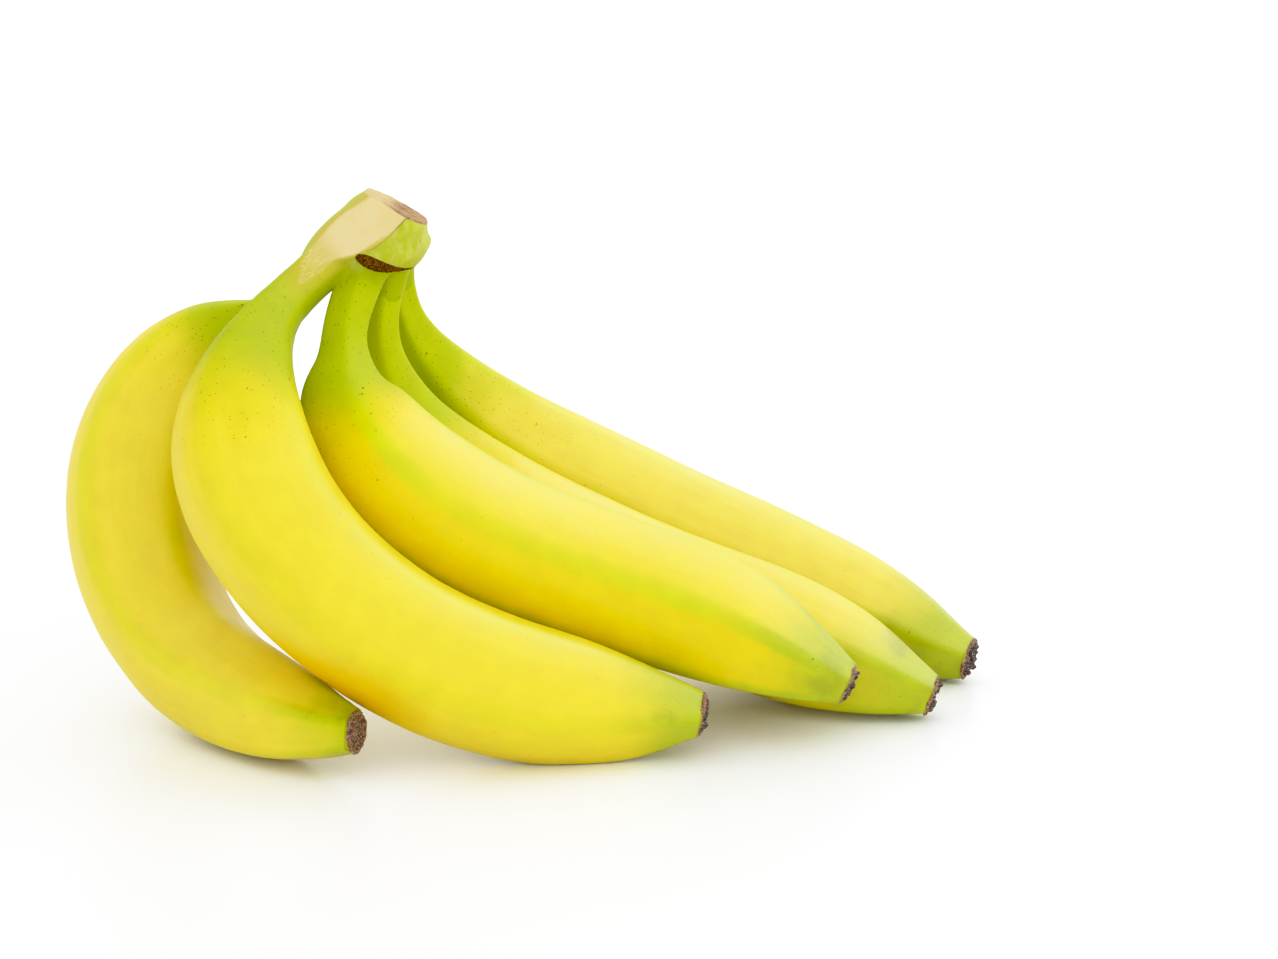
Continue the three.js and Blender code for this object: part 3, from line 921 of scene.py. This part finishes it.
def crown(settings, banana):
    """The crown: pad, arm and stalk roots under one skin, cut by the knife, with the torn bract edge."""
    rings, sides, first_grain = 40, 64, 0.6
    bodies = {"pad": CROWN_PAD, "arm": CROWN_ARM}
    parts = [loft(name, rows, rings, sides, BOXINESS) for name, rows in bodies.items()]
    parts += [stalk_root(name, banana) for name in FINGER_LINES]
    piece = remeshed(joined("crown_skin", parts), first_grain, settings.fillet_steps)
    thickness = nearest_value(*cut_back(piece, FACE_CUT, face_depth))
    cut_back(piece, TOP_CUT, top_depth)
    piece = remeshed(joined("crown_skin", [piece, loft("scar", SCAR_LINE, 80, 20)]), settings.grain, 2)

    points = points_of(piece)
    scar = gap_to(points, SCAR_LINE, 50)
    down = stalkward_of(points)
    lobe = smooth_step(points[:, 2], 122, 127) * smooth_step(points[:, 0], -84, -74)
    frayed = smooth_step(down, RUN_OUT_FROM - 6, RUN_OUT_FROM + 5)
    dry_end = smooth_step(points[:, 0], -70, -60)
    lobe_edge, past_edge = FACE_EDGES["lobe"][0]
    from_edge = (np.array(lobe_edge) - points) @ np.array(past_edge)
    layers = {
        "crown_depths": np.stack([face_depth(points), top_depth(points), scar], -1),
        "crown_skin": np.stack([lobe, frayed, dry_end], -1),
        "cut_thickness": thickness(points),
        "cut_soft": smooth_step(from_edge, 0.3, 2.5),
        "crown_grain": drawn_out(points, THREADS_RUN, 16),
        "top_grain": drawn_out(points, FIBRES_RUN, 6),
    }
    for attribute, values in layers.items():
        set_attribute(piece, attribute, values)

    # The skin is slightly uneven, the scar rough, and the top cut ribbed along its fibres.
    on_top = smooth_step(top_depth(points), -0.5, -0.15)
    on_scar = smooth_step(scar, 0.45, 0.15)
    rough = wobble(points, 0.8, 4) * on_scar * 0.35 + wobble(points, 9, 2) * 0.2 * (1 - on_top)
    fibres = wobble(drawn_out(points, FIBRES_RUN, 5), 1.0, 7) * 0.3 * on_top
    set_points(piece, points + normals_of(piece) * (rough + fibres)[:, None])
    return piece


def blossom_end(name, settings, pressed):
    """A torn lip round the tip, with a crust of dry scraps and dark nodules inside it."""
    steps = spline(finger_rows(name, pressed), np.linspace(0.97, 1, 4))
    tangents, inward, across = frames_along(steps[:, :3])
    centre, outward, inward, across = steps[-1, :3], tangents[-1], inward[-1], across[-1]
    a, b = steps[-1, 3:5]
    draw = np.random.default_rng(BLOSSOM_SEED + number_of(name))
    knottiness = BLOSSOM_KNOTS[name]
    parts = []

    def place(radius, turn, ahead):
        """A point on the tip, at a share of its radius, and so many millimetres ahead of it."""
        middle = centre + outward * ahead
        return middle + inward * a * radius * np.cos(turn) + across * b * radius * np.sin(turn)

    def blob(at, size, flat=1.0):
        """A ball, or one flattened to a share of its size along the finger."""
        bm = bmesh.new()
        bmesh.ops.create_icosphere(bm, subdivisions=2, radius=size)
        points = np.array([v.co for v in bm.verts])
        faces = [[v.index for v in f.verts] for f in bm.faces]
        bm.free()
        points = points - np.outer((1 - flat) * (points @ outward), outward)
        parts.append(mesh_object("blob", points + at, faces))

    lip_blobs = 90
    for turn in 2 * math.pi * np.arange(lip_blobs) / lip_blobs:
        wave = 0.35 * math.sin(3 * turn + draw.uniform(-0.3, 0.3)) + draw.uniform(-0.15, 0.25)
        blob(place(0.9 + 0.03 * wave, turn, 0.35 + 0.5 * max(wave, 0)), draw.uniform(0.45, 0.65))
    blob(place(0, 0, 0.3), 0.88 * b, 0.16)
    for _ in range(settings.nodules):
        radius = 0.78 * math.sqrt(draw.uniform())
        size = draw.uniform(0.3, 0.5 + 0.35 * knottiness)
        ahead = 0.4 + min(draw.uniform(0.1, 1.5) * knottiness, 1.4 * size)
        blob(place(radius, draw.uniform(0, 2 * math.pi), ahead), size)
    piece = remeshed(joined(name.replace("banana", "blossom") + "_crust", parts), settings.grain, 1)

    points = points_of(piece)
    offset = points - centre
    ahead = offset @ outward
    reach = np.hypot(offset @ inward / a, offset @ across / b)
    lip_share = smooth_step(reach, 0.7, 0.86) * smooth_step(ahead, 1.8, 0.8)
    set_attribute(piece, "rim", np.maximum(lip_share, 0.8 * (1 - knottiness)))
    lumps = 0.28 * wobble(points, 1.1, 9) + 0.22 * wobble(points, 0.45, 3)
    moved = points + normals_of(piece) * lumps[:, None]
    moved[:, 2] = np.maximum(moved[:, 2], 0.05)
    set_points(piece, moved)
    return piece


# ---- Operators ----


class HAND_OT_bananas(bpy.types.Operator):
    """Build the five bananas' skins"""

    bl_idname = "hand.bananas"
    bl_label = "Bananas"

    def execute(self, context):
        settings = context.scene.hand_banana
        material = banana_skin(settings)
        for name in FINGER_LINES:
            dress(finger(name, settings), material, "banana_skin", name)
        return {"FINISHED"}


class HAND_OT_crown(bpy.types.Operator):
    """Build the crown that joins the bananas"""

    bl_idname = "hand.crown"
    bl_label = "Crown"

    def execute(self, context):
        scene = context.scene
        piece = crown(scene.hand_crown, scene.hand_banana)
        dress(piece, crown_skin(scene.hand_crown, scene.hand_banana), "crown", "crown")
        return {"FINISHED"}


class HAND_OT_blossom_ends(bpy.types.Operator):
    """Build the dried flower remains on the five tips"""

    bl_idname = "hand.blossom_ends"
    bl_label = "Blossom ends"

    def execute(self, context):
        scene = context.scene
        material = dried_flower(scene.hand_blossom)
        for name in FINGER_LINES:
            piece = blossom_end(name, scene.hand_blossom, scene.hand_banana.pressed)
            dress(piece, material, "dried_flower", name.replace("banana", "blossom_end"))
        return {"FINISHED"}


class HAND_OT_studio(bpy.types.Operator):
    """Build the pale floor, the soft light and the camera"""

    bl_idname = "hand.studio"
    bl_label = "Studio"

    def execute(self, context):
        scene = context.scene
        settings = scene.hand_studio
        self.lay_floor(scene, settings)
        self.light_sky(scene, settings)
        for azimuth, elevation, strength in SHEENS:
            self.hang_sheen(scene, azimuth, elevation, strength * settings.sheen, settings.cool)
        self.place_camera(scene, settings)
        self.develop(scene.view_settings, settings)
        return {"FINISHED"}

    def lay_floor(self, scene, settings):
        mesh = bpy.data.meshes.new("floor")
        sides = ((-1, -1), (1, -1), (1, 1), (-1, 1))
        corners = [(x * FLOOR_REACH, y * FLOOR_REACH, -FLOOR_DROP) for x, y in sides]
        mesh.from_pydata(corners, [], [(0, 1, 2, 3)])
        floor = bpy.data.objects.new("floor", mesh)
        scene.collection.objects.link(floor)
        floor.data.materials.append(plain_floor(settings))

    def light_sky(self, scene, settings):
        """A white world that grows evenly brighter from left to right."""
        world = bpy.data.worlds.new("studio")
        world.use_nodes = True
        tree = world.node_tree
        background = tree.nodes["Background"]
        background.inputs["Color"].default_value = (1, 1, 1, 1)
        direction = tree.nodes.new("ShaderNodeTexCoord")
        split = tree.nodes.new("ShaderNodeSeparateXYZ")
        brightness = tree.nodes.new("ShaderNodeMapRange")
        left, right = settings.sky * (1 - settings.lean), settings.sky * (1 + settings.lean)
        ends = {"From Min": -1, "From Max": 1, "To Min": left, "To Max": right}
        for socket, value in ends.items():
            brightness.inputs[socket].default_value = value
        tree.links.new(direction.outputs["Generated"], split.inputs[0])
        tree.links.new(split.outputs["X"], brightness.inputs["Value"])
        tree.links.new(brightness.outputs[0], background.inputs["Strength"])
        scene.world = world

    def hang_sheen(self, scene, azimuth, elevation, strength, tint):
        """A large soft light far away that shows in the skin's gloss alone."""
        light = bpy.data.lights.new("sheen", "SUN")
        light.energy = strength
        light.color = tint
        light.angle = math.radians(SHEEN_WIDTH)
        lamp = bpy.data.objects.new("sheen", light)
        lamp.rotation_euler = (math.radians(90 - elevation), 0, math.radians(azimuth))
        lamp.visible_diffuse = False
        scene.collection.objects.link(lamp)

    def place_camera(self, scene, settings):
        data = bpy.data.cameras.new("camera")
        data.lens = settings.lens
        data.sensor_width = CAMERA_FRAME
        data.clip_start = 0.01
        camera = bpy.data.objects.new("camera", data)
        camera.location = (HAND_SHIFT + np.array(CAMERA_PLACE)) * MM
        camera.rotation_euler = (math.pi / 2 - settings.elevation, 0, 0)
        scene.collection.objects.link(camera)
        scene.camera = camera

    def develop(self, view, settings):
        """Sets how light becomes the shades of the picture."""
        view.view_transform = "Standard"
        view.use_curve_mapping = True
        view.curve_mapping.black_level = (settings.black,) * 3
        view.curve_mapping.white_level = (settings.white,) * 3
        whole_picture = view.curve_mapping.curves[3]
        for light, shown in SHOULDER:
            whole_picture.points.new(light, shown)
        view.curve_mapping.update()


class HAND_PT_sidebar(bpy.types.Panel):
    """Lists the pieces of the hand and what can be changed about them"""

    bl_idname = "HAND_PT_sidebar"
    bl_label = "Hand of bananas"
    bl_space_type = "VIEW_3D"
    bl_region_type = "UI"
    bl_category = "Fruit"

    def draw(self, context):
        for operator, group in STEPS:
            box = self.layout.box()
            box.operator(operator.bl_idname)
            settings = getattr(context.scene, group)
            for key in settings.bl_rna.properties.keys():
                if key not in ("rna_type", "name"):
                    box.prop(settings, key)


GROUPS = {
    "hand_banana": BananaSettings,
    "hand_crown": CrownSettings,
    "hand_blossom": BlossomSettings,
    "hand_studio": StudioSettings,
}
STEPS = (
    (HAND_OT_studio, "hand_studio"),
    (HAND_OT_bananas, "hand_banana"),
    (HAND_OT_crown, "hand_crown"),
    (HAND_OT_blossom_ends, "hand_blossom"),
)


def register():
    for name, group in GROUPS.items():
        bpy.utils.register_class(group)
        setattr(bpy.types.Scene, name, PointerProperty(type=group))
    for operator, _ in STEPS:
        bpy.utils.register_class(operator)
    bpy.utils.register_class(HAND_PT_sidebar)


def unregister():
    bpy.utils.unregister_class(HAND_PT_sidebar)
    for operator, _ in reversed(STEPS):
        bpy.utils.unregister_class(operator)
    for name, group in reversed(GROUPS.items()):
        delattr(bpy.types.Scene, name)
        bpy.utils.unregister_class(group)


def main():
    register()
    bpy.ops.hand.studio()
    bpy.ops.hand.bananas()
    bpy.ops.hand.crown()
    bpy.ops.hand.blossom_ends()


if __name__ == "__main__":
    main()
